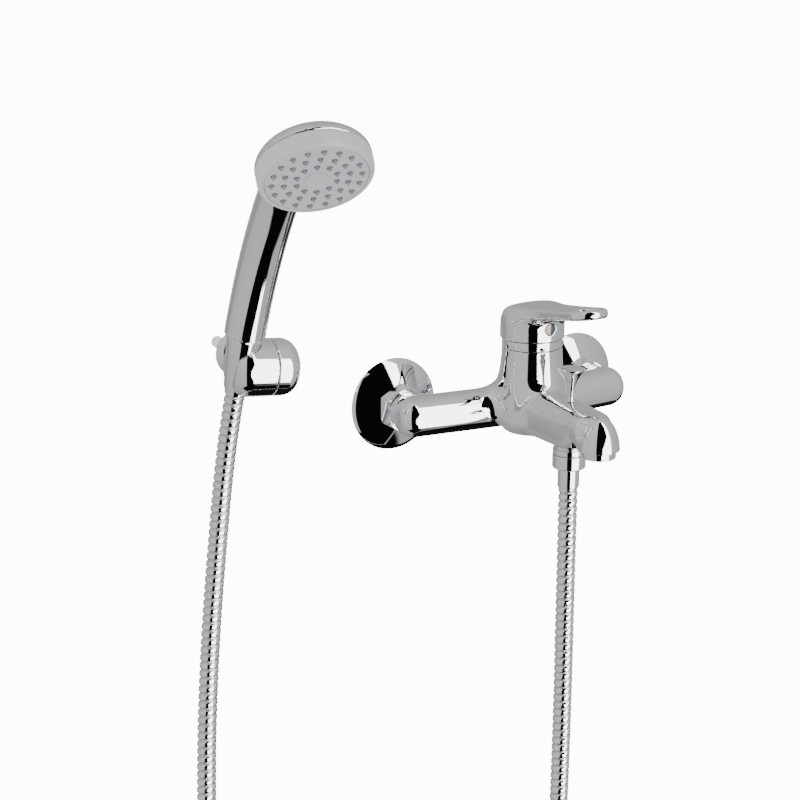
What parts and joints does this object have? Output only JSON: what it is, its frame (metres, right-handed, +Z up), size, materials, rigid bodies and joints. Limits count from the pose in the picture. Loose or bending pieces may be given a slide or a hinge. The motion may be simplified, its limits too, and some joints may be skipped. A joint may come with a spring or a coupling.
{
  "type": "wall mounted bath mixer with hand shower",
  "caption": "Wall-mounted single-lever bath mixer with a spout, pull-up diverter, metal shower hose and a hand shower in a tilting wall bracket.",
  "frame": {"origin": "on the finished wall, midway between the two inlets, at the height of the arms' axes", "axes": "+X along the wall to the right as seen from the room, +Y into the wall, +Z up; the room lies towards -Y"},
  "size_m": [0.3531, 0.2038, 0.7959],
  "materials": {
    "chrome": "mirror-polished chrome plate on cast brass",
    "hose_metal": "chromed double-interlock strip, fine helical ridges",
    "union_brass": "chromed brass, satin",
    "brass": "machined, plain",
    "chromed_plastic": "mirror chrome plate on plastic",
    "steel": "plain stainless",
    "cartridge_plastic": "moulded",
    "ceramic": "lapped ceramic",
    "rubber": "matt",
    "indicator": "pale red left half, dark blue right half",
    "face_plastic": "satin pale grey",
    "nozzle_rubber": "soft grey, matt"
  },
  "bodies": {
    "fixed": {"aerator_housing": "chrome", "aerator_insert": "cartridge_plastic", "aerator_washer": "rubber", "bracket_base": "cartridge_plastic", "bracket_rosette": "chrome", "cartridge_housing": "cartridge_plastic", "cartridge_seals": "rubber", "ceramic_disc_fixed": "ceramic", "clamp_nut": "brass", "cover_ring": "chrome", "diverter_gland": "brass", "diverter_spring": "steel", "eccentric_union_left": "union_brass", "eccentric_union_right": "union_brass", "friction_washer": "cartridge_plastic", "hose_ferrule_lower": "chrome", "hose_nut": "chrome", "hose_washer_lower": "rubber", "inlet_washers": "rubber", "mixer_body": "chrome", "outlet_nipple": "brass", "pivot_screw": "steel", "shower_hose": "hose_metal", "union_nut_left": "chrome", "union_nut_right": "chrome", "wall_flange_left": "chrome", "wall_flange_right": "chrome", "wall_plug": "cartridge_plastic", "wall_screw": "steel"},
    "turret": {"cartridge_turret": "cartridge_plastic"},
    "disc": {"ceramic_disc_moving": "ceramic"},
    "lever_body": {"lever": "chrome", "cartridge_spindle": "steel", "lever_grub_screw": "steel", "indicator_plug": "indicator"},
    "diverter": {"diverter_knob": "chrome", "diverter_stem": "steel", "diverter_valve": "brass", "diverter_rings": "rubber"},
    "holder": {"holder_barrel": "chromed_plastic", "barrel_end_cap": "chromed_plastic"},
    "hose_end": {"hose_ferrule_upper": "chrome"},
    "handset": {"cone_nut": "chromed_plastic", "hose_washer_upper": "rubber", "handset_nipple": "brass", "handset_shell": "chromed_plastic", "face_ring": "face_plastic", "spray_plate": "face_plastic", "nozzle_mat": "nozzle_rubber", "centre_cap": "face_plastic", "face_screw": "steel", "flow_chamber": "cartridge_plastic"}
  },
  "joints": [
    {"name": "lever_swivel", "type": "hinge", "parent": "fixed", "child": "turret", "pos_m": [0, -0.058, 0.0346], "axis": [0, 0, 1], "range_deg": [-45, 45]},
    {"name": "lever_lift", "type": "hinge", "parent": "turret", "child": "lever_body", "pos_m": [0, -0.058, 0.0346], "axis": [-1, 0, 0], "range_deg": [0, 20]},
    {"name": "disc_slide", "type": "slide", "parent": "turret", "child": "disc", "axis": [0, -1, 0], "range_m": [0, 0.0046]},
    {"name": "diverter_pull", "type": "slide", "parent": "fixed", "child": "diverter", "axis": [0, 0, 1], "range_m": [0, 0.008], "stiffness_N_per_m": 120, "springref_m": -0.004, "deforming": ["diverter_spring"]},
    {"name": "bracket_tilt", "type": "hinge", "parent": "fixed", "child": "holder", "pos_m": [-0.2081, -0.042, 0.0522], "axis": [0.9954, 0, -0.0958], "range_deg": [-12, 20], "deforming": ["shower_hose"]},
    {"name": "handset_lift", "type": "slide", "parent": "holder", "child": "hose_end", "axis": [0.0934, -0.2227, 0.9704], "range_m": [0, 0.025], "deforming": ["shower_hose"]},
    {"name": "handset_turn", "type": "hinge", "parent": "hose_end", "child": "handset", "pos_m": [-0.2081, -0.042, 0.0522], "axis": [0.0934, -0.2227, 0.9704], "range_deg": [-90, 90]}
  ],
  "couplings": [
    {"joint": "disc_slide", "follows": "lever_lift", "m_per_rad": 0.013}
  ]
}
